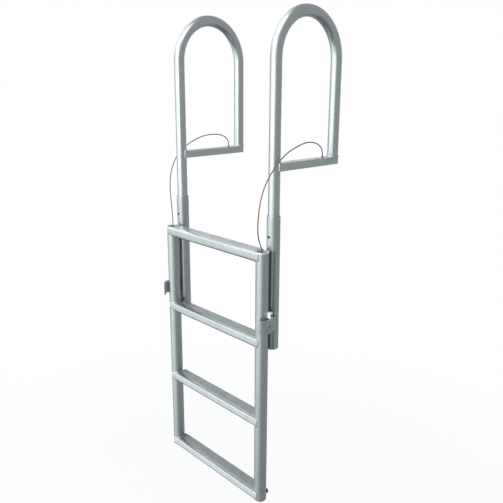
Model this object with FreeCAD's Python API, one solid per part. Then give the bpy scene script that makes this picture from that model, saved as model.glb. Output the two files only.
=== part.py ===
import FreeCAD, Part
import math
import os

# Lift ladder for a dock. Two hairpin handrails stand on foot bars on the deck, and their front legs
# drop into posts that hang down the face of the dock. A ladder of two round rails and four steps
# slides up and down in front of the posts, held by a guide bracket on each one.
# Millimetres. X runs across the ladder, Y towards the dock and Z up. The origin is on the underside
# of the left foot bar, midway between the two legs of its handrail.

# Overall layout
railSpacing = 480.0  # between the axes of the two sides
legSpacing = 288.5  # between the axes of a handrail's two legs
handrailHeight = 506.6  # deck to the top of the handrail
railSetback = 49.5  # sliding rail's axis in front of the post's axis

# Handrail tube
handrailOd = 38.1
handrailWall = 3.2
boreSides = 10  # flats that stand for the handrail's round bore, which nothing shows
legInPost = 110.0  # how far the front leg reaches down into its post

# Foot bar, a rectangular tube
footWidth = 38.1
footHeight = 25.4
footWall = 3.2
footCorner = 2.5
footEndPastLeg = 8.0  # bar's end past the axis of the back leg
boltHoleRadius = 5.5
boltSpacing = 120.0
anchorInset = 54.5  # cable anchor in front of the back leg's axis

# Post
postOd = 44.45
postBore = 38.4
postTopDrop = 142.0  # below the deck
postLength = 461.0
postRimChamfer = 0.8
setScrewDrop = 68.4  # below the top of the post
setScrewRadius = 4.0
setScrewRecess = 0.8
socketRadius = 2.2
socketDepth = 1.6
holeClearance = 0.1

# Sliding ladder
railOd = 44.45
railWall = 3.05
railTopDrop = 252.8  # below the deck
stepCount = 4
stepPitch = 298.5
stepHeight = 34.0
stepDepth = 51.5
stepFront = 24.5  # front of the nose from the rail's axis
crownRadius = 48.0  # the tread bends down towards its front edge
crownTurn = 22.0  # degrees that it has turned by there
edgeRadius = 3.5
toeRadius = 10.0
noseOverRail = 4.0  # how far the nose runs past the rail's axis
stepWall = 2.6
stepEndInset = 20.0  # end of the deep part of a step from the rail's axis
ridgeCount = 9
ridgeHeight = 0.8
ridgeWidth = 1.6
noseGrooveCount = 4
noseGroovePitch = 4.5
noseGrooveWidth = 1.4
noseGrooveDepth = 0.8

# Guide bracket, a bent strap
bracketTopDrop = 477.5  # below the deck
bracketHeight = 48.0
strapThick = 4.8
strapGap = 11.3  # between the rail and the strap beside it
lipGap = 11.8  # between the rail and the lip in front of it
rollRadius = 27.2  # inside of the strap where it is rolled round the rail
rollEnd = 75.0  # degrees that the roll turns in, past square with the dock
postPadLength = 8.0  # flat of the strap along the post, in front of the post's axis
lipCorner = 5.0
pinHoleRadius = 3.8

# Stop block on the rail, which rests on the bracket
stopWidth = 13.0
stopHeight = 20.0
stopThick = 12.0
stopBack = 10.5  # its middle behind the rail's axis
stopCorner = 2.5

# Bumper at the foot of the rail
bumperRadius = 9.0
bumperThick = 12.0
bumperSaddle = 8.0  # how far the bumper reaches back round the rail
bumperRise = 14.0

# Cable and its ends
cableDiameter = 4.0
cableSides = 6
anchorRadius = 4.5
anchorHeight = 4.0
cablePinRadius = 3.0
cablePinDrop = 40.0  # below the top of the rail
ferruleRadius = 4.5
ferruleHeight = 16.0
fittingSides = 12  # flats that stand for the round of the pin and ferrule inside the rail

# Weld beads
weldLeg = 4.5

# Worked out from the sizes above
frontY = -legSpacing / 2
backY = legSpacing / 2
railY = frontY - railSetback
handrailRadius = handrailOd / 2
postRadius = postOd / 2
railRadius = railOd / 2
postTop = -postTopDrop
postBottom = postTop - postLength
railTop = -railTopDrop
railBottom = railTop - (stepCount - 1) * stepPitch - stepHeight
bracketTop = -bracketTopDrop
bracketBottom = bracketTop - bracketHeight
sides = {"left": (0.0, -1.0), "right": (railSpacing, 1.0)}

os.makedirs("parts", exist_ok=True)


def vec(x, y, z):
    return FreeCAD.Vector(x, y, z)


def save(node, shape):
    shape.exportStep("parts/%s.step" % node)
    print(node, "solids", len(shape.Solids), "volume", round(shape.Volume, 1))


def upright(radius, bottom, top, x, y):
    return Part.makeCylinder(radius, top - bottom, vec(x, y, bottom), vec(0, 0, 1))


def box(x0, x1, y0, y1, z0, z1):
    return Part.makeBox(x1 - x0, y1 - y0, z1 - z0, vec(x0, y0, z0))


def face(points):
    return Part.Face(Part.makePolygon(points + points[:1]))


def ring(radius, sides, centre, axis):
    """Closed wire of a regular polygon, or of a circle where sides is 0."""
    circle = Part.makeCircle(radius, centre, axis)
    if sides == 0:
        return Part.Wire([circle])
    step = 2 * math.pi / sides
    corners = [circle.valueAt(step * i) for i in range(sides)]
    return Part.makePolygon(corners + corners[:1])


def roundedSection(width, height, corner, y):
    """Rectangle with round corners in the plane across the foot bar, standing on the deck."""
    slab = box(-width / 2, width / 2, y, y + 1.0, 0, height)
    edges = [e for e in slab.Edges if abs(e.tangentAt(e.FirstParameter).y) > 0.99]
    slab = slab.makeFillet(corner, edges)
    return [f for f in slab.Faces if abs(f.CenterOfMass.y - y) < 1e-6][0]


def hairpin(radius, sides, bendRadius, springZ, bottomBack, bottomFront):
    """Solid bar bent into a hairpin in the plane x = 0."""
    top = springZ + bendRadius
    path = Part.Wire([
        Part.LineSegment(vec(0, backY, bottomBack), vec(0, backY, springZ)).toShape(),
        Part.Arc(vec(0, backY, springZ), vec(0, 0, top), vec(0, frontY, springZ)).toShape(),
        Part.LineSegment(vec(0, frontY, springZ), vec(0, frontY, bottomFront)).toShape(),
    ])
    section = ring(radius, sides, vec(0, backY, bottomBack), vec(0, 0, 1))
    return path.makePipeShell([section], True, False)


def handrail(x):
    bend = legSpacing / 2
    springZ = handrailHeight - handrailRadius - bend
    bottomFront = postTop - legInPost
    boreRadius = handrailRadius - handrailWall
    outer = hairpin(handrailRadius, 0, bend, springZ, footHeight, bottomFront)
    inner = hairpin(boreRadius, boreSides, bend, springZ, footHeight - 1, bottomFront - 1)
    shape = outer.cut(inner)
    shape.translate(vec(x, 0, 0))
    return shape


def footBar(x):
    barEnd = backY + footEndPastLeg
    outer = roundedSection(footWidth, footHeight, footCorner, frontY)
    outer = outer.extrude(vec(0, barEnd - frontY, 0))
    inner = box(footWall - footWidth / 2, footWidth / 2 - footWall, frontY - 1, barEnd + 1,
                footWall, footHeight - footWall)
    shape = outer.cut(inner)
    shape = shape.cut(upright(handrailRadius, -1, footHeight + 1, 0, frontY))
    for y in (-boltSpacing / 2, boltSpacing / 2):
        shape = shape.cut(upright(boltHoleRadius, -1, footHeight + 1, 0, y))
    shape = max(shape.Solids, key=lambda solid: solid.Volume)
    shape.translate(vec(x, 0, 0))
    return shape


def post(x):
    shape = upright(postRadius, postBottom, postTop, x, frontY)
    shape = shape.cut(upright(postBore / 2, postBottom - 1, postTop + 1, x, frontY))
    rims = [e for e in shape.Edges if isinstance(e.Curve, Part.Circle)]
    rims = [e for e in rims if abs(e.Curve.Radius - postRadius) < 0.01]
    shape = shape.makeChamfer(postRimChamfer, rims)
    screwZ = postTop - setScrewDrop
    hole = Part.makeCylinder(setScrewRadius + holeClearance, postRadius,
                             vec(x, frontY - postRadius - 1, screwZ), vec(0, 1, 0))
    return shape.cut(hole)


def setScrew(x):
    screwZ = postTop - setScrewDrop
    mouth = frontY - postRadius + setScrewRecess
    tip = frontY - handrailRadius
    shape = Part.makeCylinder(setScrewRadius, tip - mouth, vec(x, mouth, screwZ), vec(0, 1, 0))
    socket = [vec(x + socketRadius * math.cos(math.radians(60 * i)), mouth,
                  screwZ + socketRadius * math.sin(math.radians(60 * i))) for i in range(6)]
    return shape.cut(face(socket).extrude(vec(0, socketDepth, 0)))


def beadRing(radius, leg, z, x, y):
    """Fillet of weld around an upright tube, standing on a flat face at z."""
    profile = face([vec(radius, 0, z), vec(radius + leg, 0, z), vec(radius, 0, z + leg)])
    bead = profile.revolve(vec(0, 0, 0), vec(0, 0, 1), 360)
    bead.translate(vec(x, y, 0))
    return bead


def footWelds(x):
    bar = box(x - footWidth / 2, x + footWidth / 2, frontY, backY + footEndPastLeg, 0, footHeight + 10)
    rear = beadRing(handrailRadius, weldLeg, footHeight, x, backY).common(bar)
    front = beadRing(handrailRadius, weldLeg, footHeight, x, frontY).common(bar)
    return Part.makeCompound(rear.Solids + front.Solids)


def strapPlan():
    """Plan of the strap for the side at +X: a flat on the post, a straight run and a rolled lip."""
    flatEnd = vec(postRadius, frontY - postPadLength, 0)
    centre = vec(railRadius + strapGap - rollRadius, railY - railRadius - lipGap + rollRadius, 0)
    toFlat = flatEnd - centre
    lean = math.atan2(toFlat.y, toFlat.x) - math.acos(rollRadius / toFlat.Length)
    end = -math.radians(rollEnd)
    outerCorner = flatEnd + vec(strapThick, strapThick * math.tan(lean / 2), 0)

    def onRoll(radius, angle):
        return centre + vec(radius * math.cos(angle), radius * math.sin(angle), 0)

    def rollArc(radius, first, last):
        middle = (first + last) / 2
        return Part.Arc(onRoll(radius, first), onRoll(radius, middle), onRoll(radius, last))

    far = rollRadius + strapThick
    edges = [
        Part.LineSegment(vec(postRadius, frontY, 0), flatEnd),
        Part.LineSegment(flatEnd, onRoll(rollRadius, lean)),
        rollArc(rollRadius, lean, end),
        Part.LineSegment(onRoll(rollRadius, end), onRoll(far, end)),
        rollArc(far, end, lean),
        Part.LineSegment(onRoll(far, lean), outerCorner),
        Part.LineSegment(outerCorner, vec(postRadius + strapThick, frontY, 0)),
        Part.LineSegment(vec(postRadius + strapThick, frontY, 0), vec(postRadius, frontY, 0)),
    ]
    return Part.Face(Part.Wire([e.toShape() for e in edges]))


def guideBracket(x, outward):
    strap = strapPlan().extrude(vec(0, 0, bracketHeight))
    lipEdges = [e for e in strap.Edges if e.BoundBox.ZLength < 0.01 and e.BoundBox.YMax < railY - railRadius
                and abs(e.Length - strapThick) < 0.01]
    strap = strap.makeFillet(lipCorner, lipEdges)
    hole = Part.makeCylinder(pinHoleRadius, 60, vec(0, railY, bracketHeight / 2), vec(1, 0, 0))
    strap = strap.cut(hole)
    if outward < 0:
        strap = strap.mirror(vec(0, 0, 0), vec(1, 0, 0))
    strap.translate(vec(x, 0, bracketBottom))
    return strap


def rail(x):
    shape = upright(railRadius, railBottom, railTop, x, railY)
    return shape.cut(upright(railRadius - railWall, railBottom - 1, railTop + 1, x, railY))


def stepOutline(inset, top):
    """Closed outline of a step in the plane across it: flat tread, crown, front edge, face and toe."""
    front = railY - stepFront
    back = front + stepDepth - inset
    turn = math.radians(crownTurn)
    edge = vec(0, front + edgeRadius, top - crownRadius + (crownRadius - edgeRadius) * math.cos(turn))
    crown = vec(0, edge.y + (crownRadius - edgeRadius) * math.sin(turn), top - crownRadius)
    toe = vec(0, front + toeRadius, top - stepHeight + toeRadius)

    def onRound(centre, radius, angle):
        return centre + vec(0, -math.cos(angle), math.sin(angle)) * (radius - inset)

    def roundArc(centre, radius, first, last):
        return Part.Arc(onRound(centre, radius, first), onRound(centre, radius, (first + last) / 2),
                        onRound(centre, radius, last)).toShape()

    upper = onRound(crown, crownRadius, math.pi / 2)
    lower = onRound(toe, toeRadius, -math.pi / 2)
    faceTop = onRound(edge, edgeRadius, 0)
    faceBottom = onRound(toe, toeRadius, 0)
    return Part.Face(Part.Wire([
        roundArc(crown, crownRadius, math.pi / 2, math.pi / 2 - turn),
        roundArc(edge, edgeRadius, math.pi / 2 - turn, 0),
        Part.LineSegment(faceTop, faceBottom).toShape(),
        roundArc(toe, toeRadius, 0, -math.pi / 2),
        Part.LineSegment(lower, vec(0, back, lower.z)).toShape(),
        Part.LineSegment(vec(0, back, lower.z), vec(0, back, upper.z)).toShape(),
        Part.LineSegment(vec(0, back, upper.z), upper).toShape(),
    ]))


def noseGroove(z, start, length):
    """Three-sided bar that cuts a groove along the front face of a step."""
    front = railY - stepFront
    cut = face([vec(start, front + noseGrooveDepth, z), vec(start, front - noseGrooveDepth, z + noseGrooveWidth),
                vec(start, front - noseGrooveDepth, z - noseGrooveWidth)])
    return cut.extrude(vec(length, 0, 0))


def step(index):
    top = railTop - index * stepPitch
    start = -noseOverRail
    length = railSpacing + 2 * noseOverRail
    shape = stepOutline(0, top).extrude(vec(length, 0, 0))
    hollow = stepOutline(stepWall, top).extrude(vec(length, 0, 0))
    shape = shape.cut(hollow)
    shape.translate(vec(start, 0, 0))
    for i in range(noseGrooveCount):
        z = top - stepHeight / 2 + noseGroovePitch * ((noseGrooveCount - 1) / 2 - i)
        shape = shape.cut(noseGroove(z, start, length))
    crownRun = edgeRadius + (crownRadius - edgeRadius) * math.sin(math.radians(crownTurn))
    ridgeStart = railY - stepFront + crownRun
    ridgeRun = stepDepth - crownRun - ridgeWidth
    for i in range(ridgeCount):
        y = ridgeStart + ridgeRun * i / (ridgeCount - 1)
        shape = shape.cut(box(start, start + length, y, y + ridgeWidth, top - ridgeHeight, top + 1))
    for x in (0.0, railSpacing):
        shape = shape.cut(upright(railRadius, railBottom - 5, railTop + 5, x, railY))
    deep = railY + railRadius * 0.2
    for x in (start - 1, railSpacing - stepEndInset):
        shape = shape.cut(box(x, x + stepEndInset + noseOverRail + 1, deep, deep + 2 * stepDepth,
                              top - 2 * stepHeight, top + stepHeight))
    return max(shape.Solids, key=lambda solid: solid.Volume)


def stopBlock(x, outward):
    near = x + outward * (railRadius - 4)
    far = x + outward * (railRadius + stopThick)
    block = box(min(near, far), max(near, far), railY + stopBack - stopWidth / 2,
                railY + stopBack + stopWidth / 2, bracketTop, bracketTop + stopHeight)
    outerEdges = [e for e in block.Edges if abs(e.CenterOfMass.x - far) < 0.01 and
                  e.CenterOfMass.z > bracketTop + 1]
    block = block.makeFillet(stopCorner, outerEdges)
    return block.cut(upright(railRadius, bracketTop - 1, bracketTop + 2 * stopHeight, x, railY))


def bumper(x):
    z = railBottom + bumperRise
    pad = Part.makeCylinder(bumperRadius, bumperThick + bumperSaddle,
                            vec(x, railY + railRadius - bumperSaddle, z), vec(0, 1, 0))
    return pad.cut(upright(railRadius, z - 40, z + 40, x, railY))


def cablePin(x, outward):
    """Cross pin through the rail with the swaged ferrule of the cable standing on it."""
    z = railTop - cablePinDrop
    section = ring(cablePinRadius, fittingSides, vec(x - railRadius, railY, z), vec(1, 0, 0))
    pin = Part.Face(section).extrude(vec(railOd, 0, 0))
    pin = pin.common(upright(railRadius - railWall - holeClearance, z - railOd, z + railOd, x, railY))
    section = ring(ferruleRadius, fittingSides, vec(x, railY, z), vec(0, 0, 1))
    ferrule = Part.Face(section).extrude(vec(0, 0, ferruleHeight))
    return pin.fuse(ferrule)


def cableAnchor(x):
    y = backY - anchorInset
    return upright(anchorRadius, footHeight, footHeight + anchorHeight, x, y)


def cableTube(points):
    """Round tube along straight runs joined by tangent arcs, each as large as its runs allow."""
    radii = []
    edges = []
    start = points[0]
    for a, b, c in zip(points, points[1:], points[2:]):
        intoCorner = (b - a).normalize()
        outOfCorner = (c - b).normalize()
        half = intoCorner.getAngle(outOfCorner) / 2
        trim = 0.45 * min((b - a).Length, (c - b).Length)
        radius = trim / math.tan(half)
        radii.append(radius)
        enter = b - intoCorner * trim
        leave = b + outOfCorner * trim
        toCentre = (outOfCorner - intoCorner).normalize()
        centre = b + toCentre * (radius / math.cos(half))
        middle = centre - toCentre * radius
        edges.append(Part.LineSegment(start, enter).toShape())
        edges.append(Part.Arc(enter, middle, leave).toShape())
        start = leave
    edges.append(Part.LineSegment(start, points[-1]).toShape())
    path = Part.Wire(edges)
    outline = ring(cableDiameter / 2, cableSides, points[0], (points[1] - points[0]).normalize())
    tube = path.makePipeShell([outline], True, False)
    section = Part.Face(outline).Area
    print("cable length", round(path.Length, 1), "radii", [round(r, 1) for r in radii])
    print("volume over section times length", round(tube.Volume / (section * path.Length), 4))
    return tube


# Routes of the two cables, as offsets outward from the side's axis, back from the post's axis and
# above the deck. They leave the anchor upward, arch over, pass the leg on its outer side, hang
# beside the rail and drop into its open top.
anchorY = legSpacing - anchorInset
anchorZ = footHeight + anchorHeight
ferruleTop = railTop - cablePinDrop + ferruleHeight
ropeEnd = (0, -railSetback, ferruleTop)
leftRoute = [
    (0, anchorY, anchorZ), (0, anchorY, 45), (2, 222.5, 61.5), (4, 199, 73), (7, 167, 78), (13, 127, 75),
    (19, 88, 64.5), (24, 48, 45), (28, 9, 18), (30, -20, -25), (29, -35, -74), (25, -39.5, -123),
    (18, -40.5, -172), (9, -43, -217), (4, -46.5, -240), (0, -railSetback, -258.8), ropeEnd,
]
rightRoute = [
    (0, anchorY, anchorZ), (0, anchorY, 45), (2, 222, 62), (5, 196, 76), (9, 158, 83), (15, 115, 81),
    (20, 75, 71.5), (25, 35, 60), (29, -9, 35.5), (30, -50.5, -3), (29, -79, -47), (26, -91, -98),
    (20, -91.5, -147), (12, -83.5, -193), (5, -64, -229), (0, -railSetback, -258.8), ropeEnd,
]


def cable(x, outward, route):
    return cableTube([vec(x + outward * o, frontY + y, z) for o, y, z in route])


for side, (x, outward) in sides.items():
    save(side + "_handrail", handrail(x))
    save(side + "_foot_bar", footBar(x))
    save(side + "_foot_welds", footWelds(x))
    save(side + "_post", post(x))
    save(side + "_set_screw", setScrew(x))
    save(side + "_guide_bracket", guideBracket(x, outward))
    save(side + "_cable_anchor", cableAnchor(x))
    save(side + "_rail", rail(x))
    save(side + "_stop_block", stopBlock(x, outward))
    save(side + "_bumper", bumper(x))
    save(side + "_cable_pin", cablePin(x, outward))
    save(side + "_cable", cable(x, outward, leftRoute if outward < 0 else rightRoute))

for index in range(stepCount):
    save("step_%d" % (index + 1), step(index))
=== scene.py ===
import math

import bmesh
import bpy
from mathutils import Matrix, Vector


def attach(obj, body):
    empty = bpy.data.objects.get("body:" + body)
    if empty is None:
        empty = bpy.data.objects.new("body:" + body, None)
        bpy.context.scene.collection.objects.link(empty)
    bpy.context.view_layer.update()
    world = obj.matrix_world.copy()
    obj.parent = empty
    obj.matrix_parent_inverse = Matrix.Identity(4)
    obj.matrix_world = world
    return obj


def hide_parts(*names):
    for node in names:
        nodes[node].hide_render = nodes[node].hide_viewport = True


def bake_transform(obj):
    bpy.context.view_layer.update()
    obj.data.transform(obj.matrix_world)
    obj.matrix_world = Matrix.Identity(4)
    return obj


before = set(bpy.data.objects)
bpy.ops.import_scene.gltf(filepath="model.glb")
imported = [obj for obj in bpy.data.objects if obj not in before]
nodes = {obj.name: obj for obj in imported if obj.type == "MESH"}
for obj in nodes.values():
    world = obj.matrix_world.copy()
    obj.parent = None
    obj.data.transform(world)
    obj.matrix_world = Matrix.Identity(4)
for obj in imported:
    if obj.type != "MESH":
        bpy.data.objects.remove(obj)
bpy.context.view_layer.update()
print("frame loaded,", len(nodes), "CAD nodes")

# Sizes of the ladder that finishes and loose pieces are set out from, in metres.
ladder = {
    "sideX": {"left": 0.0, "right": 0.480},
    "outward": {"left": -1.0, "right": 1.0},
    "frontY": -0.14425,  # axis of the front legs and the posts
    "backY": 0.14425,
    "railY": -0.19375,
    "deckToBarTop": 0.0254,
    "legRadius": 0.01905,
    "postRadius": 0.022225,
    "railRadius": 0.022225,
    "springZ": 0.3433,  # where the handrail's arch starts
    "railTop": -0.2528,  # the first step lies level with it
    "stepPitch": 0.2985,
    "steps": 4,
}

# Camera, at the photograph's own angle
camera = {
    "place": (1.7689, -1.4819, 0.2678),
    "yaw": 46.3092,  # degrees
    "pitch": 15.3225,
    "roll": 0.2561,
    "focalPixels": 589.62,
    "centre": (249.726, 244.963),  # in pixels, as the picture's width is
    "picture": 503,
    "sensor": 36.0,
}


def makeCamera():
    yaw = math.radians(camera["yaw"])
    pitch = math.radians(camera["pitch"])
    roll = math.radians(camera["roll"])
    forward = Vector((-math.sin(yaw) * math.cos(pitch), math.cos(yaw) * math.cos(pitch), -math.sin(pitch)))
    level = Vector((math.cos(yaw), math.sin(yaw), 0))
    upright = level.cross(forward)
    right = level * math.cos(roll) + upright * math.sin(roll)
    up = upright * math.cos(roll) - level * math.sin(roll)
    data = bpy.data.cameras.new("photoCamera")
    data.sensor_width = camera["sensor"]
    data.lens = camera["focalPixels"] / camera["picture"] * camera["sensor"]
    data.shift_x = 0.5 - camera["centre"][0] / camera["picture"]
    data.shift_y = camera["centre"][1] / camera["picture"] - 0.5
    made = bpy.data.objects.new("photoCamera", data)
    bpy.context.scene.collection.objects.link(made)
    turn = Matrix((right, up, -forward)).transposed().to_4x4()
    made.matrix_world = Matrix.Translation(Vector(camera["place"])) @ turn
    bpy.context.scene.camera = made


makeCamera()
print("camera placed")


# Small tools that every piece uses
def linearColour(hexText):
    channels = [int(hexText[i:i + 2], 16) / 255 for i in (1, 3, 5)]
    return [c / 12.92 if c <= 0.04045 else ((c + 0.055) / 1.055) ** 2.4 for c in channels] + [1.0]


def addNode(tree, kind, settings=None, links=None):
    made = tree.nodes.new(kind)
    for name, value in (settings or {}).items():
        if isinstance(name, int) or name in made.inputs:
            made.inputs[name].default_value = value
        else:
            setattr(made, name, value)
    for name, socket in (links or {}).items():
        tree.links.new(socket, made.inputs[name])
    return made


def newMaterial(name, surface):
    made = bpy.data.materials.new(name)
    made.use_nodes = True
    tree = made.node_tree
    shader = tree.nodes["Principled BSDF"]
    for socket, value in surface.items():
        shader.inputs[socket].default_value = value
    return made, tree, shader


def newPiece(name, verts, faces, material, smooth=True):
    mesh = bpy.data.meshes.new(name)
    mesh.from_pydata(verts, [], faces)
    made = bpy.data.objects.new(name, mesh)
    bpy.context.scene.collection.objects.link(made)
    mesh.materials.append(material)
    tidy = bmesh.new()
    tidy.from_mesh(mesh)
    bmesh.ops.recalc_face_normals(tidy, faces=tidy.faces)
    tidy.to_mesh(mesh)
    tidy.free()
    mesh.polygons.foreach_set("use_smooth", [smooth] * len(mesh.polygons))
    return made


def framesAlong(points):
    # Two directions square with the line at each point, carried along it without twisting.
    tangents = []
    for i in range(len(points)):
        ahead = points[min(i + 1, len(points) - 1)]
        behind = points[max(i - 1, 0)]
        tangents.append((ahead - behind).normalized())
    side = tangents[0].orthogonal().normalized()
    carried = []
    for tangent in tangents:
        side = (side - tangent * side.dot(tangent)).normalized()
        carried.append((side, tangent.cross(side)))
    return carried


def evenly(points, step):
    # The line again, with its points about one step apart.
    gone = [0.0]
    for a, b in zip(points, points[1:]):
        gone.append(gone[-1] + (b - a).length)
    count = max(2, round(gone[-1] / step))
    out, j = [], 0
    for i in range(count + 1):
        at = gone[-1] * i / count
        while j < len(points) - 2 and gone[j + 1] < at:
            j += 1
        span = gone[j + 1] - gone[j]
        out.append(points[j].lerp(points[j + 1], (at - gone[j]) / span if span else 0))
    return out


def sweep(rings):
    # Faces that join rings of equal size into one skin, closed at both ends.
    verts = [point for ring in rings for point in ring]
    size = len(rings[0])
    faces = []
    for i in range(len(rings) - 1):
        for k in range(size):
            a, b = i * size + k, i * size + (k + 1) % size
            faces.append((a, b, b + size, a + size))
    faces.append(tuple(range(size - 1, -1, -1)))
    faces.append(tuple(range(len(verts) - size, len(verts))))
    return verts, faces


# Materials
# Each aluminium finish is the same metal made another way: what changes is the way its marks run.
metal = {"Metallic": 1.0}


def markMetal(tree, shader, finish, marks, mottle, lines, patches):
    # The oxide skin shades between two tones and dulls the shine in patches. The fine lines that
    # the die leaves show in the tone and in the skin.
    tone = addNode(tree, "ShaderNodeMixRGB",
                   {"Color1": linearColour(finish["dark"]), "Color2": linearColour(finish["light"])},
                   {"Fac": mottle})
    streak = addNode(tree, "ShaderNodeMapRange",
                     {"From Min": marks["noise"][0], "From Max": marks["noise"][1],
                      "To Min": marks["streak"][0], "To Max": marks["streak"][1]}, {"Value": lines})
    shade = addNode(tree, "ShaderNodeVectorMath", {"operation": "SCALE"},
                    {0: tone.outputs[0], "Scale": streak.outputs[0]})
    tree.links.new(shade.outputs["Vector"], shader.inputs["Base Color"])
    dull = addNode(tree, "ShaderNodeMapRange",
                   {"From Min": marks["noise"][0], "From Max": marks["noise"][1],
                    "To Min": finish["roughness"] - marks["shinier"],
                    "To Max": finish["roughness"] + marks["duller"]}, {"Value": patches})
    tree.links.new(dull.outputs[0], shader.inputs["Roughness"])
    bump = addNode(tree, "ShaderNodeBump", {"Strength": marks["strength"], "Distance": marks["depth"]},
                   {"Height": lines})
    tree.links.new(bump.outputs[0], shader.inputs["Normal"])


# How far the marks go: the noise's own range, shares of the tone, steps of roughness, and relief.
drawMarks = {"noise": (0.3, 0.7), "streak": (0.93, 1.04), "shinier": 0.02, "duller": 0.03,
             "strength": 0.12, "depth": 0.00003}
dieMarks = {"noise": (0.3, 0.7), "streak": (0.96, 1.03), "shinier": 0.01, "duller": 0.015,
            "strength": 0.12, "depth": 0.00008, "mottle": (0.35, 0.65)}


def drawnTube(name, finish, alongArch=False):
    # Mill-finish aluminium tube, pulled through a die: fine bright draw lines run the length of it,
    # over a faintly cloudy oxide skin that dulls the reflection in patches.
    made, tree, shader = newMaterial(name, {**metal, "Roughness": finish["roughness"]})
    place = addNode(tree, "ShaderNodeTexCoord")
    parts = addNode(tree, "ShaderNodeSeparateXYZ", links={0: place.outputs["Object"]})
    if alongArch:
        # Round the arch the lines follow the bend, so they are set out from the bend's own centre.
        rise = addNode(tree, "ShaderNodeMath", {"operation": "SUBTRACT", 1: ladder["springZ"]},
                       {0: parts.outputs["Z"]})
        aboveSpring = addNode(tree, "ShaderNodeMath", {"operation": "MAXIMUM", 1: 0.0}, {0: rise.outputs[0]})
        bendPlane = addNode(tree, "ShaderNodeCombineXYZ",
                            links={"X": parts.outputs["Y"], "Y": aboveSpring.outputs[0]})
        fromCentre = addNode(tree, "ShaderNodeVectorMath", {"operation": "LENGTH"}, {0: bendPlane.outputs[0]})
        along = addNode(tree, "ShaderNodeCombineXYZ",
                        links={"X": parts.outputs["X"], "Y": fromCentre.outputs["Value"]})
    else:
        slow = addNode(tree, "ShaderNodeMath", {"operation": "MULTIPLY", 1: finish["stretch"]},
                       {0: parts.outputs["Z"]})
        along = addNode(tree, "ShaderNodeCombineXYZ",
                        links={"X": parts.outputs["X"], "Y": parts.outputs["Y"], "Z": slow.outputs[0]})
    # Real draw lines are about 0.1 mm apart, too fine to show, so they are drawn at 1.2 mm.
    draw = addNode(tree, "ShaderNodeTexNoise",
                   {"Scale": 1 / finish["lineSpacing"], "Detail": 3.0, "Roughness": 0.6},
                   {"Vector": along.outputs[0]})
    cloud = addNode(tree, "ShaderNodeTexNoise",
                    {"Scale": 1 / finish["cloudSize"], "Detail": 2.0, "Roughness": 0.5},
                    {"Vector": place.outputs["Object"]}).outputs["Fac"]
    markMetal(tree, shader, finish, drawMarks, cloud, draw.outputs["Fac"], cloud)
    return made


def extrudedBar(name, finish, runsAlong):
    # Mill-finish aluminium pushed or rolled out long: straight lines run with it, and a mottled oxide
    # skin shows most on the flat faces.
    made, tree, shader = newMaterial(name, {**metal, "Roughness": finish["roughness"]})
    place = addNode(tree, "ShaderNodeTexCoord")
    squeeze = [1.0, 1.0, 1.0]
    squeeze["XYZ".index(runsAlong)] = finish["stretch"]
    along = addNode(tree, "ShaderNodeVectorMath", {"operation": "MULTIPLY", 1: squeeze},
                    {0: place.outputs["Object"]})
    # Real die lines are about 0.1 mm apart too, and are drawn at about 1 mm.
    die = addNode(tree, "ShaderNodeTexNoise",
                  {"Scale": 1 / finish["lineSpacing"], "Detail": 3.0, "Roughness": 0.6},
                  {"Vector": along.outputs[0]})
    patches = addNode(tree, "ShaderNodeTexNoise",
                      {"Scale": 1 / finish["mottleSize"], "Detail": 3.0, "Roughness": 0.5},
                      {"Vector": place.outputs["Object"]}).outputs["Fac"]
    mottle = addNode(tree, "ShaderNodeMapRange",
                     {"From Min": dieMarks["mottle"][0], "From Max": dieMarks["mottle"][1]},
                     {"Value": patches})
    markMetal(tree, shader, finish, dieMarks, mottle.outputs[0], die.outputs["Fac"], patches)
    return made


handrailFinish = {"dark": "#bfc4c5", "light": "#c6cbcc", "roughness": 0.27, "lineSpacing": 0.0012,
                  "cloudSize": 0.07}
postFinish = {"dark": "#b3b9ba", "light": "#babfc0", "roughness": 0.32, "lineSpacing": 0.0012,
              "cloudSize": 0.08, "stretch": 0.01}
railFinish = {"dark": "#b1b7b8", "light": "#b8bdbe", "roughness": 0.38, "lineSpacing": 0.0012,
              "cloudSize": 0.09, "stretch": 0.01}
stepFinish = {"dark": "#c4c9ca", "light": "#cdd1d2", "roughness": 0.34, "lineSpacing": 0.0010,
              "mottleSize": 0.03, "stretch": 0.008}
barFinish = {"dark": "#bfc5c6", "light": "#c8cdce", "roughness": 0.34, "lineSpacing": 0.0010,
             "mottleSize": 0.03, "stretch": 0.01}
strapFinish = {"dark": "#aeb3b4", "light": "#b7bcbd", "roughness": 0.38, "lineSpacing": 0.0009,
               "mottleSize": 0.02, "stretch": 0.05}

handrailTube = drawnTube("drawnAluminiumHandrail", handrailFinish, alongArch=True)
postTube = drawnTube("drawnAluminiumPost", postFinish)
railTube = drawnTube("drawnAluminiumRail", railFinish)


def besideAxis(tree, place, point, along):
    # How far the surface lies from a line through the point, along X, Y or Z.
    keep = [0.0 if letter == along else 1.0 for letter in "XYZ"]
    away = addNode(tree, "ShaderNodeVectorMath", {"operation": "SUBTRACT", 1: point},
                   {0: place.outputs["Object"]})
    level = addNode(tree, "ShaderNodeVectorMath", {"operation": "MULTIPLY", 1: keep}, {0: away.outputs[0]})
    span = addNode(tree, "ShaderNodeVectorMath", {"operation": "LENGTH"}, {0: level.outputs[0]})
    return span.outputs["Value"]


def eitherSide(tree, masks):
    total = masks[0]
    for mask in masks[1:]:
        total = addNode(tree, "ShaderNodeMath", {"operation": "MAXIMUM"}, {0: total, 1: mask}).outputs[0]
    return total


def paintOver(tree, colour, mask):
    # Lays a colour over the metal's own where the mask is 1.
    base = tree.nodes["Principled BSDF"].inputs["Base Color"]
    mixed = addNode(tree, "ShaderNodeMixRGB", {"Color2": linearColour(colour)},
                    {"Fac": mask, "Color1": base.links[0].from_socket})
    tree.links.new(mixed.outputs[0], base)


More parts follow.
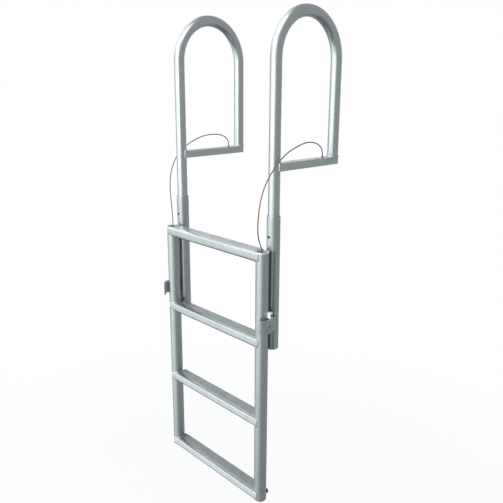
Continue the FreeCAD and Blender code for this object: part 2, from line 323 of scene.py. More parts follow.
def makeMatt(tree, metallic, mask):
    # Frosted and rubbed metal scatters light nearly as paint does, so it is less metallic where the
    # mask is 1.
    matt = addNode(tree, "ShaderNodeMapRange", {"To Min": 1.0, "To Max": metallic}, {"Value": mask})
    tree.links.new(matt.outputs[0], tree.nodes["Principled BSDF"].inputs["Metallic"])


# Painted highlight on the rail's lip and painted light down its bore.
railEndLight = {"lip": 0.0045, "blur": 0.0012, "boreRadius": 0.0208, "lipHighlight": "#eef1f2", "boreLight": "#c8cccd",
           "metallic": 0.25}


def paintRailEndLight(material):
    # The rail's open top has a painted highlight on its lip. The bore is made matt and painted pale, a
    # painted light, so that light shows down in it.
    tree = material.node_tree
    place = addNode(tree, "ShaderNodeTexCoord")
    heights = addNode(tree, "ShaderNodeSeparateXYZ", links={0: place.outputs["Object"]})
    edge = ladder["railTop"] - railEndLight["lip"]
    lip = addNode(tree, "ShaderNodeMapRange",
                  {"From Min": edge - railEndLight["blur"], "From Max": edge + railEndLight["blur"]},
                  {"Value": heights.outputs["Z"]})
    bores = []
    for x in ladder["sideX"].values():
        radius = besideAxis(tree, place, (x, ladder["railY"], 0.0), "Z")
        bores.append(addNode(tree, "ShaderNodeMath", {"operation": "LESS_THAN", 1: railEndLight["boreRadius"]},
                             {0: radius}).outputs[0])
    bore = eitherSide(tree, bores)
    # Painted highlight on the lip, then painted light in the bore.
    paintOver(tree, railEndLight["lipHighlight"], lip.outputs[0])
    paintOver(tree, railEndLight["boreLight"], bore)
    makeMatt(tree, railEndLight["metallic"], bore)


paintRailEndLight(railTube)

# A ring of painted shade round each set screw.
screwHoleShade = {"z": -0.2104, "radius": 0.0052, "blur": 0.0004, "dark": "#45484a"}


def paintScrewHoleShade(material):
    # Painted shade: a dark ring round each set screw, on the front of the post, stands in for the shade in
    # its hole.
    tree = material.node_tree
    place = addNode(tree, "ShaderNodeTexCoord")
    holeShades = []
    for x in ladder["sideX"].values():
        radius = besideAxis(tree, place, (x, 0.0, screwHoleShade["z"]), "Y")
        holeShades.append(addNode(tree, "ShaderNodeMapRange",
                             {"From Min": screwHoleShade["radius"] - screwHoleShade["blur"],
                              "From Max": screwHoleShade["radius"] + screwHoleShade["blur"],
                              "To Min": 1.0, "To Max": 0.0}, {"Value": radius}).outputs[0])
    where = addNode(tree, "ShaderNodeSeparateXYZ", links={0: place.outputs["Object"]})
    front = addNode(tree, "ShaderNodeMath", {"operation": "LESS_THAN", 1: ladder["frontY"]},
                    {0: where.outputs["Y"]})
    holeShade = addNode(tree, "ShaderNodeMath", {"operation": "MULTIPLY"},
                   {0: eitherSide(tree, holeShades), 1: front.outputs[0]})
    paintOver(tree, screwHoleShade["dark"], holeShade.outputs[0])


paintScrewHoleShade(postTube)

# A strip of painted shade down the right post, beside its rail: degrees round the post from straight outward,
# how wide it is to each side, and where it has faded away.
railShadeStrip = {"side": "right", "angle": -50.0, "width": 0.0065, "fade": 0.0125, "blur": 0.006,
              "shadeGrey": "#8a8f90"}


def paintShadeBesideRail(material):
    # Painted shade: a dull grey strip, which makes the post read darker beside the rail.
    tree = material.node_tree
    place = addNode(tree, "ShaderNodeTexCoord")
    turn = math.radians(railShadeStrip["angle"])
    middle = (ladder["sideX"][railShadeStrip["side"]] + ladder["postRadius"] * math.cos(turn),
              ladder["frontY"] + ladder["postRadius"] * math.sin(turn), 0.0)
    near = addNode(tree, "ShaderNodeMapRange",
                   {"interpolation_type": "SMOOTHSTEP", "From Min": railShadeStrip["width"],
                    "From Max": railShadeStrip["fade"], "To Min": 1.0, "To Max": 0.0},
                   {"Value": besideAxis(tree, place, middle, "Z")})
    heights = addNode(tree, "ShaderNodeSeparateXYZ", links={0: place.outputs["Object"]})
    low = addNode(tree, "ShaderNodeMapRange",
                  {"From Min": ladder["railTop"] - railShadeStrip["blur"], "From Max": ladder["railTop"],
                   "To Min": 1.0, "To Max": 0.0}, {"Value": heights.outputs["Z"]})
    paintedShade = addNode(tree, "ShaderNodeMath", {"operation": "MULTIPLY"},
                    {0: near.outputs[0], 1: low.outputs[0]})
    # The painted shade is laid over the post's own tone.
    paintOver(tree, railShadeStrip["shadeGrey"], paintedShade.outputs[0])


paintShadeBesideRail(postTube)
stepMetal = extrudedBar("extrudedAluminiumStep", stepFinish, "X")

# How much painted light and shade the steps carry, as shares of the clean metal's brightness.
stepLightAndShade = {
    "firstTread": 1.5, "upperTread": 0.90, "lowestTread": 0.70,
    "highlightFrom": 0.1, "highlightTo": 0.2,  # metres above the second tread
    "treadTilt": (0.80, 0.93),  # upward share of the direction that a tread faces
    "noseShadeFrom": 0.016, "noseShadeTo": 0.030, "noseShade": 0.80,  # metres below a step's top
    "under": 0.28, "underTilt": (-0.75, -0.20),
}


def paintStepLightAndShade(material):
    # Painted light and shade: the first tread carries a painted highlight. The treads below are painted
    # darker, most on the lowest. The foot of each nose is painted in shade, and the underside most of all.
    tree = material.node_tree
    place = addNode(tree, "ShaderNodeTexCoord")
    height = addNode(tree, "ShaderNodeSeparateXYZ", links={0: place.outputs["Object"]}).outputs["Z"]
    facing = addNode(tree, "ShaderNodeSeparateXYZ", links={0: place.outputs["Normal"]}).outputs["Z"]
    second = ladder["railTop"] - ladder["stepPitch"]
    lowest = ladder["railTop"] - (ladder["steps"] - 1) * ladder["stepPitch"]
    treadDarkening = addNode(tree, "ShaderNodeMapRange",
                   {"From Min": lowest, "From Max": second, "To Min": stepLightAndShade["lowestTread"],
                    "To Max": stepLightAndShade["upperTread"]}, {"Value": height})
    # The first tread's painted highlight.
    treadHighlight = addNode(tree, "ShaderNodeMapRange",
                      {"From Min": second + stepLightAndShade["highlightFrom"],
                       "From Max": second + stepLightAndShade["highlightTo"],
                       "To Min": 1.0, "To Max": stepLightAndShade["firstTread"]}, {"Value": height})
    tread = addNode(tree, "ShaderNodeMath", {"operation": "MULTIPLY"},
                    {0: treadDarkening.outputs[0], 1: treadHighlight.outputs[0]})
    upward = addNode(tree, "ShaderNodeMapRange",
                     {"From Min": stepLightAndShade["treadTilt"][0], "From Max": stepLightAndShade["treadTilt"][1]},
                     {"Value": facing})
    onTread = addNode(tree, "ShaderNodeMapRange", {"To Min": 1.0},
                      {"Value": upward.outputs[0], "To Max": tread.outputs[0]})
    below = addNode(tree, "ShaderNodeMath", {"operation": "SUBTRACT", 0: ladder["railTop"]}, {1: height})
    depth = addNode(tree, "ShaderNodeMath", {"operation": "MODULO", 1: ladder["stepPitch"]},
                    {0: below.outputs[0]})
    # Painted shade at the foot of each nose.
    noseFootShade = addNode(tree, "ShaderNodeMapRange",
                    {"From Min": stepLightAndShade["noseShadeFrom"], "From Max": stepLightAndShade["noseShadeTo"], "To Min": 1.0,
                     "To Max": stepLightAndShade["noseShade"]}, {"Value": depth.outputs[0]})
    # Painted shade on faces that look down.
    under = addNode(tree, "ShaderNodeMapRange",
                    {"From Min": stepLightAndShade["underTilt"][0], "From Max": stepLightAndShade["underTilt"][1],
                     "To Min": stepLightAndShade["under"], "To Max": 1.0}, {"Value": facing})
    nose = addNode(tree, "ShaderNodeMath", {"operation": "MULTIPLY"},
                   {0: noseFootShade.outputs[0], 1: under.outputs[0]})
    lightAndShade = addNode(tree, "ShaderNodeMath", {"operation": "MULTIPLY"},
                   {0: onTread.outputs[0], 1: nose.outputs[0]})
    base = tree.nodes["Principled BSDF"].inputs["Base Color"]
    shadedTone = addNode(tree, "ShaderNodeVectorMath", {"operation": "SCALE"},
                   {0: base.links[0].from_socket, "Scale": lightAndShade.outputs[0]})
    tree.links.new(shadedTone.outputs["Vector"], base)


paintStepLightAndShade(stepMetal)
barMetal = extrudedBar("extrudedAluminiumFootBar", barFinish, "Y")
strapMetal = extrudedBar("rolledAluminiumStrap", strapFinish, "Y")

# Painted light on the inside of each strap, where it lies in shade.
# The ladder's middle line, the end of the strap's lip, and the share by which a face looks inward.
strapInsideLight = {"middle": 0.240, "lipEnd": -0.2263, "inward": -0.15, "insideLight": "#bfc4c5", "metallic": 0.3}


def paintStrapInsideLight(material):
    # Painted light: the inner face of each strap is painted pale, which lifts the shade between strap and
    # rail, and is made less metallic, so it mirrors little of the rail in it.
    tree = material.node_tree
    place = addNode(tree, "ShaderNodeTexCoord")
    where = addNode(tree, "ShaderNodeSeparateXYZ", links={0: place.outputs["Object"]})
    facing = addNode(tree, "ShaderNodeSeparateXYZ", links={0: place.outputs["Normal"]})
    across = addNode(tree, "ShaderNodeMath", {"operation": "SUBTRACT", 1: strapInsideLight["middle"]},
                     {0: where.outputs["X"]})
    side = addNode(tree, "ShaderNodeMath", {"operation": "SIGN"}, {0: across.outputs[0]})
    outward = addNode(tree, "ShaderNodeMath", {"operation": "MULTIPLY"},
                      {0: facing.outputs["X"], 1: side.outputs[0]})
    inside = addNode(tree, "ShaderNodeMath", {"operation": "LESS_THAN", 1: strapInsideLight["inward"]},
                     {0: outward.outputs[0]})
    behindLip = addNode(tree, "ShaderNodeMath", {"operation": "GREATER_THAN", 1: strapInsideLight["lipEnd"]},
                        {0: where.outputs["Y"]})
    insideLight = addNode(tree, "ShaderNodeMath", {"operation": "MULTIPLY"},
                     {0: inside.outputs[0], 1: behindLip.outputs[0]})
    paintOver(tree, strapInsideLight["insideLight"], insideLight.outputs[0])
    makeMatt(tree, strapInsideLight["metallic"], insideLight.outputs[0])


paintStrapInsideLight(strapMetal)

def coatSurface(tree, shader, finish, toneMask, shineMask, relief=None):
    # The first tone runs into the second, and shiny into dull, by their masks, over a fine relief.
    first, second = [linearColour(tone) for tone in finish["tones"]]
    mixed = addNode(tree, "ShaderNodeMixRGB", {"Color1": first, "Color2": second}, {"Fac": toneMask})
    tree.links.new(mixed.outputs[0], shader.inputs["Base Color"])
    shine = addNode(tree, "ShaderNodeMapRange", {"To Min": finish["shiniest"], "To Max": finish["dullest"]},
                    {"Value": shineMask})
    tree.links.new(shine.outputs[0], shader.inputs["Roughness"])
    if relief is not None:
        bump = addNode(tree, "ShaderNodeBump", {"Strength": finish["strength"], "Distance": finish["depth"]},
                       {"Height": relief})
        tree.links.new(bump.outputs[0], shader.inputs["Normal"])


weldFinish = {
    "tones": ("#d2d7d9", "#a9afb1"),  # clean metal, then soot
    "roughness": 0.30, "shiniest": 0.22, "dullest": 0.46,
    "grain": 0.0012, "strength": 0.35, "depth": 0.0002,
    "sootSize": 0.0072, "sootFades": (0.45, 0.7),
}


def weldedBead():
    # Aluminium laid down with a wire gun and left as welded: brighter than the tube, with a frosted
    # skin and a few duller patches of soot.
    made, tree, shader = newMaterial("weldedAluminiumBead", {**metal, "Roughness": weldFinish["roughness"]})
    place = addNode(tree, "ShaderNodeTexCoord")
    frost = addNode(tree, "ShaderNodeTexNoise", {"Scale": 1 / weldFinish["grain"], "Detail": 4.0},
                    {"Vector": place.outputs["Object"]}).outputs["Fac"]
    patch = addNode(tree, "ShaderNodeTexNoise", {"Scale": 1 / weldFinish["sootSize"], "Detail": 2.0},
                    {"Vector": place.outputs["Object"]})
    soot = addNode(tree, "ShaderNodeMapRange",
                   {"From Min": weldFinish["sootFades"][0], "From Max": weldFinish["sootFades"][1]},
                   {"Value": patch.outputs["Fac"]})
    coatSurface(tree, shader, weldFinish, soot.outputs[0], frost, frost)
    return made


weldMetal = weldedBead()

wireFinish = {
    "tones": ("#a59c8e", "#6b5f50"),  # bright, then tarnished
    "roughness": 0.42, "shiniest": 0.34, "dullest": 0.6,
    "patch": 0.004, "patchFades": (0.35, 0.65),
}


def strandedWire():
    # Galvanised steel wire rope, tarnished brownish: dull strands with browner patches.
    made, tree, shader = newMaterial("strandedSteelWire", {**metal, "Roughness": wireFinish["roughness"]})
    place = addNode(tree, "ShaderNodeTexCoord")
    patch = addNode(tree, "ShaderNodeTexNoise",
                    {"Scale": 1 / wireFinish["patch"], "Detail": 5.0, "Roughness": 0.65},
                    {"Vector": place.outputs["Object"]}).outputs["Fac"]
    brown = addNode(tree, "ShaderNodeMapRange",
                    {"From Min": wireFinish["patchFades"][0], "From Max": wireFinish["patchFades"][1]},
                    {"Value": patch})
    coatSurface(tree, shader, wireFinish, brown.outputs[0], patch)
    return made


wireMetal = strandedWire()

ferruleFinish = {"tones": ("#7d8080", "#a3a6a6"), "roughness": 0.45, "shiniest": 0.37, "dullest": 0.55,
                 "grain": 0.0015, "strength": 0.2, "depth": 0.0001}
# The screws are near-black: a painted shade of the holes they sit in.
screwShadeFinish = {"tones": ("#1f2122", "#3c3e40"), "roughness": 0.48, "shiniest": 0.40, "dullest": 0.58,
               "grain": 0.001, "strength": 0.2, "depth": 0.0001}


def turnedFitting(name, finish):
    # A small fitting, pressed or turned: close grey metal with a fine grain left by the tool.
    made, tree, shader = newMaterial(name, {**metal, "Roughness": finish["roughness"]})
    place = addNode(tree, "ShaderNodeTexCoord")
    grain = addNode(tree, "ShaderNodeTexNoise",
                    {"Scale": 1 / finish["grain"], "Detail": 4.0, "Roughness": 0.6},
                    {"Vector": place.outputs["Object"]}).outputs["Fac"]
    coatSurface(tree, shader, finish, grain, grain, grain)
    return made


ferruleMetal = turnedFitting("swagedAluminiumFerrule", ferruleFinish)
screwMetal = turnedFitting("stainlessSteelScrew", screwShadeFinish)

nylonFinish = {"tones": ("#dfe1e0", "#f1f2f1"), "roughness": 0.42, "shiniest": 0.36, "dullest": 0.5,
               "toolMark": 0.0008, "stretch": 0.1, "strength": 0.3, "depth": 0.00015}


def machinedNylon():
    # White nylon cut from bar: waxy and slightly see-through at its corners, with faint level saw marks.
    made, tree, shader = newMaterial("machinedNylon",
                                     {"Roughness": nylonFinish["roughness"], "IOR": 1.53,
                                      "Subsurface Weight": 0.08, "Subsurface Scale": 0.002})
    place = addNode(tree, "ShaderNodeTexCoord")
    along = addNode(tree, "ShaderNodeVectorMath",
                    {"operation": "MULTIPLY", 1: (nylonFinish["stretch"], nylonFinish["stretch"], 1.0)},
                    {0: place.outputs["Object"]})
    saw = addNode(tree, "ShaderNodeTexNoise", {"Scale": 1 / nylonFinish["toolMark"], "Detail": 2.0},
                  {"Vector": along.outputs[0]}).outputs["Fac"]
    coatSurface(tree, shader, nylonFinish, saw, saw, saw)
    return made


blockNylon = machinedNylon()

rubberFinish = {"tones": ("#4c4e50", "#6a6c6e"), "roughness": 0.72, "shiniest": 0.62, "dullest": 0.84,
                "grain": 0.0009, "bloomSize": 0.0072, "strength": 0.4, "depth": 0.0002}


def mouldedRubber():
    # Moulded rubber with a fine grain, and a chalky bloom in patches where it has dried.
    made, tree, shader = newMaterial("mouldedRubber", {"Roughness": rubberFinish["roughness"], "IOR": 1.52})
    place = addNode(tree, "ShaderNodeTexCoord")
    grain = addNode(tree, "ShaderNodeTexNoise", {"Scale": 1 / rubberFinish["grain"], "Detail": 3.0},
                    {"Vector": place.outputs["Object"]}).outputs["Fac"]
    bloom = addNode(tree, "ShaderNodeTexNoise", {"Scale": 1 / rubberFinish["bloomSize"], "Detail": 3.0},
                    {"Vector": place.outputs["Object"]}).outputs["Fac"]
    coatSurface(tree, shader, rubberFinish, bloom, bloom, grain)
    return made


bumperRubber = mouldedRubber()

finishOf = {
    "handrail": handrailTube, "foot_bar": barMetal, "foot_welds": weldMetal, "post": postTube,
    "set_screw": screwMetal, "guide_bracket": strapMetal, "cable_anchor": ferruleMetal,
    "cable": wireMetal, "rail": railTube, "stop_block": blockNylon, "bumper": bumperRubber,
    "cable_pin": ferruleMetal,
}
for name, node in nodes.items():
    kind = name.split("_", 1)[1] if name.split("_")[0] in ladder["sideX"] else "step"
    material = stepMetal if kind == "step" else finishOf[kind]
    for slot in node.material_slots:
        slot.material = material
print("materials on all CAD nodes")


# Lift cables
# Each runs from its anchor on the foot bar over an arch, past the leg on its outer side, and hangs
# down into the open top of its rail. Points are outward from the side, back from the post, and up.
cable = {
    "diameter": 0.004,
    "strands": 6,
    "lay": 0.026,  # one full turn of a strand
    "strandSides": 7,
    "step": 0.0022,
    "left": [
        (0, 0.234, 0.0294), (0, 0.234, 0.045), (0.002, 0.2225, 0.0615), (0.004, 0.199, 0.073),
        (0.007, 0.167, 0.078), (0.013, 0.127, 0.075), (0.019, 0.088, 0.0645), (0.024, 0.048, 0.045),
        (0.028, 0.009, 0.018), (0.030, -0.020, -0.025), (0.029, -0.035, -0.074), (0.025, -0.0395, -0.123),
        (0.018, -0.0405, -0.172), (0.009, -0.043, -0.217), (0.004, -0.0465, -0.240), (0, -0.0495, -0.2588),
        (0, -0.0495, -0.2768),
    ],
    "right": [
        (0, 0.234, 0.0294), (0, 0.234, 0.045), (0.002, 0.222, 0.062), (0.005, 0.196, 0.076),
        (0.009, 0.158, 0.083), (0.015, 0.115, 0.081), (0.020, 0.075, 0.0715), (0.025, 0.035, 0.060),
        (0.029, -0.009, 0.0355), (0.030, -0.0505, -0.003), (0.029, -0.079, -0.047), (0.026, -0.091, -0.098),
        (0.020, -0.0915, -0.147), (0.012, -0.0835, -0.193), (0.005, -0.064, -0.229), (0, -0.0495, -0.2588),
        (0, -0.0495, -0.2768),
    ],
}


def routeLine(name, points):
    curve = bpy.data.curves.new(name, "CURVE")
    curve.dimensions = "3D"
    curve.resolution_u = 12
    spline = curve.splines.new("NURBS")
    spline.points.add(len(points) - 1)
    for slot, point in zip(spline.points, points):
        slot.co = (*point, 1.0)
    spline.order_u = 3
    spline.use_endpoint_u = True
    holder = bpy.data.objects.new(name, curve)
    mesh = bpy.data.meshes.new_from_object(holder)
    line = [vertex.co.copy() for vertex in mesh.vertices]
    bpy.data.objects.remove(holder)
    bpy.data.meshes.remove(mesh)
    bpy.data.curves.remove(curve)
    return line


def makeCable(side):
    x, outward = ladder["sideX"][side], ladder["outward"][side]
    points = [(x + outward * o, ladder["frontY"] + back, up) for o, back, up in cable[side]]
    line = evenly(routeLine(side + "Route", points), cable["step"])
    directions = framesAlong(line)
    strandRadius = cable["diameter"] / 6  # three strands lie side by side across the rope
    verts, faces = [], []
    gone = 0.0
    turns = []
    for i, point in enumerate(line):
        gone += (point - line[i - 1]).length if i else 0.0
        turns.append(2 * math.pi * gone / cable["lay"])
    for strand in range(cable["strands"] + 1):
        rings = []
        for point, (across, over), turn in zip(line, directions, turns):
            angle = turn + 2 * math.pi * strand / cable["strands"]
            # The last strand is the core, which runs straight down the middle.
            away = 0.0 if strand == cable["strands"] else 2 * strandRadius
            middle = point + (across * math.cos(angle) + over * math.sin(angle)) * away
            rings.append([
                middle + (across * math.cos(t) + over * math.sin(t)) * strandRadius
                for t in (2 * math.pi * k / cable["strandSides"] + angle for k in range(cable["strandSides"]))
            ])
        strandVerts, strandFaces = sweep(rings)
        start = len(verts)
        verts += strandVerts
        faces += [tuple(v + start for v in face) for face in strandFaces]
    piece = newPiece(side + "_wire_rope", verts, faces, wireMetal)
    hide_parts(side + "_cable")
    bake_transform(piece)


for side in ladder["sideX"]:
    makeCable(side)


# Weld beads
bead = {
    "sides": 10,
    "step": 0.0005,
    "ripple": 0.0017,  # from one scale of the bead to the next
    "depth": 0.13,  # shares of the bead's radius
    "sharpness": 1.5,
    "uneven": 0.05,
    "wander": 0.37,  # radians for each step
    "tip": 0.0003,
    "taper": 0.9,
}


def layBead(name, points, radius, body):
    # A bead along a line of points: its skin steps in overlapping scales, and its ends taper.
    line = evenly([Vector(p) for p in points], bead["step"])
    directions = framesAlong(line)
    total = len(line) - 1
    rings = []
    for i, (point, (across, over)) in enumerate(zip(line, directions)):
        phase = (i * bead["step"] / bead["ripple"]) % 1.0
        wander = bead["uneven"] * math.sin(i * bead["wander"])
        scale = 1 - bead["depth"] * phase ** bead["sharpness"] + wander
        endDistance = min(i, total - i) * bead["step"]
        taper = math.sqrt(min(1.0, (endDistance + bead["tip"]) / (bead["taper"] * radius)))
        size = radius * scale * taper
        rings.append([
            point + (across * math.cos(t) + over * math.sin(t)) * size
            for t in (2 * math.pi * k / bead["sides"] for k in range(bead["sides"]))
        ])
    verts, faces = sweep(rings)
    piece = newPiece(name, verts, faces, weldMetal)
    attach(piece, body)
    return piece


def arcPoints(x, y, z, radius, first, last, count=40):
    out = []
    for i in range(count + 1):
        angle = math.radians(first + (last - first) * i / count)
        out.append((x + radius * math.cos(angle), y + radius * math.sin(angle), z))
    return out


footWeld = {
    "offset": 0.0006, "rise": 0.0012,
    "backArc": (152, 388), "backRadius": 0.0032,  # degrees round the leg
    "frontArc": (8, 172), "frontRadius": 0.0028,
    "seamOut": 0.0002, "seamBack": 0.0022, "seamLow": 0.002, "seamHigh": 0.003,
}


def makeFootWelds(side):
    x = ladder["sideX"][side]
    radius = ladder["legRadius"] + footWeld["offset"]
    top = ladder["deckToBarTop"] + footWeld["rise"]
    # Round the back leg, as far as the foot bar goes.
    around = arcPoints(x, ladder["backY"], top, radius, *footWeld["backArc"])
    rear = layBead(side + "_back_leg_weld", around, footWeld["backRadius"], "dock_frame")
    # Up one side of the joint where the bar is coped to the front leg, over its top and down the other.
    seamX = ladder["legRadius"] + footWeld["seamOut"]
    seamY = ladder["frontY"] + footWeld["seamBack"]
    seamTop = top - footWeld["seamHigh"]
    over = arcPoints(x, ladder["frontY"], top, radius, *footWeld["frontArc"])
    up = [(x + seamX, seamY, footWeld["seamLow"]), (x + seamX, seamY, seamTop)]
    down = [(x - seamX, seamY, seamTop), (x - seamX, seamY, footWeld["seamLow"])]
    layBead(side + "_front_leg_weld", up + over + down, footWeld["frontRadius"], "dock_frame")
    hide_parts(side + "_foot_welds")


for side in ladder["sideX"]:
    makeFootWelds(side)

stepWeld = {
    "radius": 0.0015, "offset": 0.0004, "count": 30,
    "firstAngle": -86, "lastAngle": 14,  # degrees round the rail, from its inner side
    "height": 0.034, "front": 0.0245,  # the step's own section
    "crownStart": 0.0043, "crownRadius": 0.048, "toeRadius": 0.010,
}


def awayFromFlat(y, start, radius):
    # How far a surface that is flat behind start has bent away from it at y.
    gone = max(0.0, start - y)
    return radius - math.sqrt(radius ** 2 - min(gone, radius) ** 2)


def makeStepWelds(index, top):
    crownY = ladder["railY"] - stepWeld["crownStart"]
    toeY = ladder["railY"] - stepWeld["front"] + stepWeld["toeRadius"]
    reach = ladder["railRadius"] + stepWeld["offset"]
    sweepAngle = stepWeld["lastAngle"] - stepWeld["firstAngle"]
    for side in ladder["sideX"]:
        x, inward = ladder["sideX"][side], -ladder["outward"][side]
        over, under = [], []
        for i in range(stepWeld["count"] + 1):
            angle = math.radians(stepWeld["firstAngle"] + sweepAngle * i / stepWeld["count"])
            across, y = x + inward * reach * math.cos(angle), ladder["railY"] + reach * math.sin(angle)
            over.append((across, y, top - awayFromFlat(y, crownY, stepWeld["crownRadius"])))
            under.append((across, y, top - stepWeld["height"] + awayFromFlat(y, toeY, stepWeld["toeRadius"])))
        # Across the top from the front, down the inside of the rail, and back under the step.
        layBead("step_%d_%s_weld" % (index, side), over + under[::-1], stepWeld["radius"], "sliding_ladder")


for index in range(ladder["steps"]):
    makeStepWelds(index + 1, ladder["railTop"] - index * ladder["stepPitch"])

# Up behind the strap, over its top edge in a raised lump, and down in front of it. Points are
# outward from the post's face, back from its axis, and up.
bracketWeld = {
    "radius": 0.0028,
    "path": [
        (0.0024, 0.0012, -0.5225), (0.0024, 0.0012, -0.4785), (0.0012, -0.0008, -0.4740),
        (0, -0.0034, -0.4735), (-0.0006, -0.0090, -0.4755), (-0.0010, -0.0092, -0.4805),
        (-0.0010, -0.0092, -0.5225),
    ],
}


def makeBracketWelds(side):
    x, outward = ladder["sideX"][side], ladder["outward"][side]
    path = [(x + outward * (ladder["postRadius"] + out), ladder["frontY"] + back, up)
            for out, back, up in bracketWeld["path"]]
    layBead(side + "_bracket_weld", path, bracketWeld["radius"], "dock_frame")


for side in ladder["sideX"]:
    makeBracketWelds(side)
print("weld beads laid")

# Screws in the stop blocks and the guide straps
# Places are outward from the rail's axis, back from it, and up.
blockScrew = {"radius": 0.0038, "height": 0.0016, "place": (0.034225, 0.0105, -0.4675)}
strapScrew = {"radius": 0.0037, "height": 0.0026, "place": (0.0342, 0.0, -0.5015)}
# Shares of the radius and the height, from the seat over the dome and down into the socket.
screwHead = {"sides": 28, "sunk": 0.0002,
             "profile": [(1.0, 0.0), (1.0, 0.35), (0.93, 0.7), (0.75, 0.92), (0.45, 1.0), (0.42, 0.45)]}


def makeScrew(name, side, screw, body):
    # A domed head with a socket turned into it, facing outward.
    outward = ladder["outward"][side]
    out, back, z = screw["place"]
    base, y = ladder["sideX"][side] + outward * out, ladder["railY"] + back
    rings = []
    for share, rise in screwHead["profile"]:
        x, radius = base + outward * (rise * screw["height"] - screwHead["sunk"]), share * screw["radius"]
        rings.append([Vector((x, y + radius * math.cos(t), z + radius * math.sin(t)))
                      for t in (2 * math.pi * k / screwHead["sides"] for k in range(screwHead["sides"]))])
    verts, faces = sweep(rings)
    piece = newPiece(name, verts, faces, screwMetal)
    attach(piece, body)


for side in ladder["sideX"]:
    makeScrew(side + "_block_screw", side, blockScrew, "sliding_ladder")
    makeScrew(side + "_strap_screw", side, strapScrew, "dock_frame")
print("screws made")

# Floor
floor = {"centre": (0.243, -0.1, -1.70), "radius": 6.0, "sides": 96, "white": "#ffffff", "pale": "#eceeef",
         "roughness": 0.9, "glow": 0.84, "shadowFrom": 0.9, "shadowTo": 2.4}


def makeFloor():
    centre = Vector(floor["centre"])
    verts = [centre + Vector((floor["radius"] * math.cos(t), floor["radius"] * math.sin(t), 0))
             for t in (2 * math.pi * k / floor["sides"] for k in range(floor["sides"]))]
    material, tree, shader = newMaterial("paleStudioFloor", {"Base Color": linearColour(floor["pale"]),
                                                             "Roughness": floor["roughness"]})
    # To the camera the floor is nearly white paper, with the ladder's shadow still on it. Metal
    # doesn't mirror it: low down it mirrors the world instead.
    paper = addNode(tree, "ShaderNodeEmission", {"Color": linearColour(floor["white"]), "Strength": 1.0})
    path = addNode(tree, "ShaderNodeLightPath")
    seen = addNode(tree, "ShaderNodeMath", {"operation": "MAXIMUM"},
                   {0: path.outputs["Is Camera Ray"], 1: path.outputs["Is Transmission Ray"]})
    # Away from the ladder it turns to plain white, so that its edge doesn't show.
    place = addNode(tree, "ShaderNodeTexCoord")
    away = addNode(tree, "ShaderNodeVectorMath", {"operation": "DISTANCE", 1: floor["centre"]},
                   {0: place.outputs["Object"]})
    fade = addNode(tree, "ShaderNodeMapRange",
                   {"interpolation_type": "SMOOTHSTEP", "From Min": floor["shadowFrom"],
                    "From Max": floor["shadowTo"], "To Min": floor["glow"], "To Max": 1.0},
                   {"Value": away.outputs["Value"]})
    share = addNode(tree, "ShaderNodeMath", {"operation": "MULTIPLY"},
                    {0: seen.outputs[0], 1: fade.outputs[0]})
    mix = addNode(tree, "ShaderNodeMixShader",
                  links={0: share.outputs[0], 1: shader.outputs[0], 2: paper.outputs[0]})
    tree.links.new(mix.outputs[0], tree.nodes["Material Output"].inputs["Surface"])
    made = newPiece("floor", verts, [tuple(range(len(verts)))], material, smooth=False)
    made.visible_glossy = False


makeFloor()

# Light
studio = {
    "room": "#edf3f5",
    "roomLevel": 0.50,
    # What stands round the ladder: degrees from +X, degrees up, how far it reaches to each side, level.
    "windows": [
        (-95.0, 12.0, 46.0, 1.05),
        (-138.0, -18.0, 26.0, 0.60),
        (-165.0, 42.0, 32.0, 1.20),
    ],
    "windowEdge": 9.0,
    "under": 0.45,  # share of the light that comes from straight below
    "underFades": (-0.95, -0.5),  # these are upward shares of a direction, 1 is straight up
    "backdropAzimuth": 138.0,
    "backdropFades": (0.6, 0.85),  # share of a direction that is toward the backdrop
    "backdropTop": (0.31, 0.37),
    "backdropFoot": (-0.25, -0.05),
}


def compass(azimuth, height=0.0):
    turn, tilt = math.radians(azimuth), math.radians(height)
    return (math.cos(turn) * math.cos(tilt), math.sin(turn) * math.cos(tilt), math.sin(tilt))


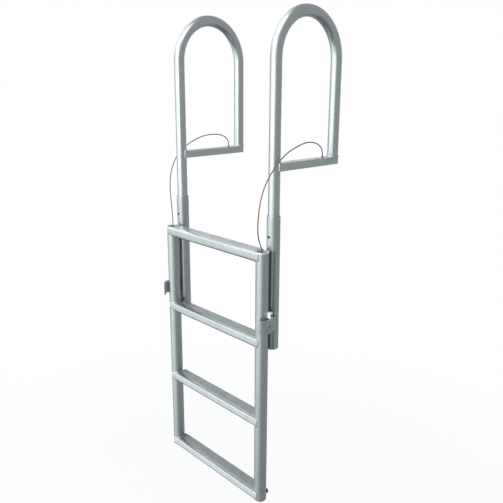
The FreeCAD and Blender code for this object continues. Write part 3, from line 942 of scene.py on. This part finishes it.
def makeWorld():
    world = bpy.data.worlds.new("studio")
    bpy.context.scene.world = world
    world.use_nodes = True
    tree = world.node_tree
    plain = tree.nodes["Background"]
    place = addNode(tree, "ShaderNodeTexCoord")
    direction = place.outputs["Generated"]
    level = None
    for azimuth, height, reach, strength in studio["windows"]:
        toward = addNode(tree, "ShaderNodeVectorMath",
                         {"operation": "DOT_PRODUCT", 1: compass(azimuth, height)}, {0: direction})
        window = addNode(tree, "ShaderNodeMapRange",
                         {"interpolation_type": "SMOOTHSTEP",
                          "From Min": math.cos(math.radians(reach + studio["windowEdge"])),
                          "From Max": math.cos(math.radians(reach - studio["windowEdge"])),
                          "To Max": strength}, {"Value": toward.outputs["Value"]})
        joined = addNode(tree, "ShaderNodeMath", {"operation": "ADD", 1: studio["roomLevel"]},
                         {0: window.outputs[0]})
        if level:
            tree.links.new(level.outputs[0], joined.inputs[1])
        level = joined
    # Less light comes up from straight below, where the ladder shades the floor.
    heights = addNode(tree, "ShaderNodeSeparateXYZ", links={0: direction})
    shade = addNode(tree, "ShaderNodeMapRange",
                    {"interpolation_type": "SMOOTHSTEP", "From Min": studio["underFades"][0],
                     "From Max": studio["underFades"][1], "To Min": studio["under"], "To Max": 1.0},
                    {"Value": heights.outputs["Z"]})
    room = addNode(tree, "ShaderNodeMath", {"operation": "MULTIPLY"},
                   {0: level.outputs[0], 1: shade.outputs[0]})
    plain.inputs["Color"].default_value = linearColour(studio["room"])
    tree.links.new(room.outputs[0], plain.inputs["Strength"])
    # The white backdrop fills the picture, and metal shows it where it stands: low behind the ladder.
    towardBack = addNode(tree, "ShaderNodeVectorMath",
                         {"operation": "DOT_PRODUCT", 1: compass(studio["backdropAzimuth"])}, {0: direction})
    behind = addNode(tree, "ShaderNodeMapRange",
                     {"interpolation_type": "SMOOTHSTEP", "From Min": studio["backdropFades"][0],
                      "From Max": studio["backdropFades"][1]}, {"Value": towardBack.outputs["Value"]})
    low = addNode(tree, "ShaderNodeMapRange",
                  {"interpolation_type": "SMOOTHSTEP", "From Min": studio["backdropTop"][0],
                   "From Max": studio["backdropTop"][1], "To Min": 1.0, "To Max": 0.0},
                  {"Value": heights.outputs["Z"]})
    overFloor = addNode(tree, "ShaderNodeMapRange",
                        {"interpolation_type": "SMOOTHSTEP", "From Min": studio["backdropFoot"][0],
                         "From Max": studio["backdropFoot"][1]}, {"Value": heights.outputs["Z"]})
    upright = addNode(tree, "ShaderNodeMath", {"operation": "MULTIPLY"},
                      {0: low.outputs[0], 1: overFloor.outputs[0]})
    backdrop = addNode(tree, "ShaderNodeMath", {"operation": "MULTIPLY"},
                       {0: behind.outputs[0], 1: upright.outputs[0]})
    path = addNode(tree, "ShaderNodeLightPath")
    inMetal = addNode(tree, "ShaderNodeMath", {"operation": "MULTIPLY"},
                      {0: path.outputs["Is Glossy Ray"], 1: backdrop.outputs[0]})
    straight = addNode(tree, "ShaderNodeMath", {"operation": "MAXIMUM"},
                       {0: path.outputs["Is Camera Ray"], 1: path.outputs["Is Transmission Ray"]})
    seen = addNode(tree, "ShaderNodeMath", {"operation": "MAXIMUM"},
                   {0: straight.outputs[0], 1: inMetal.outputs[0]})
    white = addNode(tree, "ShaderNodeBackground", {"Color": (1, 1, 1, 1), "Strength": 1.0})
    mix = addNode(tree, "ShaderNodeMixShader",
                  links={0: seen.outputs[0], 1: plain.outputs[0], 2: white.outputs[0]})
    tree.links.new(mix.outputs[0], tree.nodes["World Output"].inputs["Surface"])


makeWorld()

lamps = [
    # name, place, the point it faces, width and height, watts, colour
    ("keySoftbox", (0.36, -3.50, 1.00), (0.243, -0.1, -0.3), (1.4, 2.6), 60.0, "#fffaf9"),
    # A small one hangs close over the handrails: it draws the bright band that climbs their arches.
    ("topSoftbox", (0.40, -0.52, 1.32), (0.05, -0.08, 0.45), (0.90, 0.80), 4.4, "#fffaf9"),
]


def makeLamps():
    for name, place, target, size, watts, colour in lamps:
        data = bpy.data.lights.new(name, "AREA")
        data.shape = "RECTANGLE"
        data.size, data.size_y = size
        data.energy = watts
        data.color = linearColour(colour)[:3]
        made = bpy.data.objects.new(name, data)
        bpy.context.scene.collection.objects.link(made)
        made.location = place
        made.rotation_euler = (Vector(target) - Vector(place)).to_track_quat("-Z", "Y").to_euler()
        made.visible_camera = False


makeLamps()
bpy.context.scene.view_settings.view_transform = "Standard"
print("floor and lights placed")
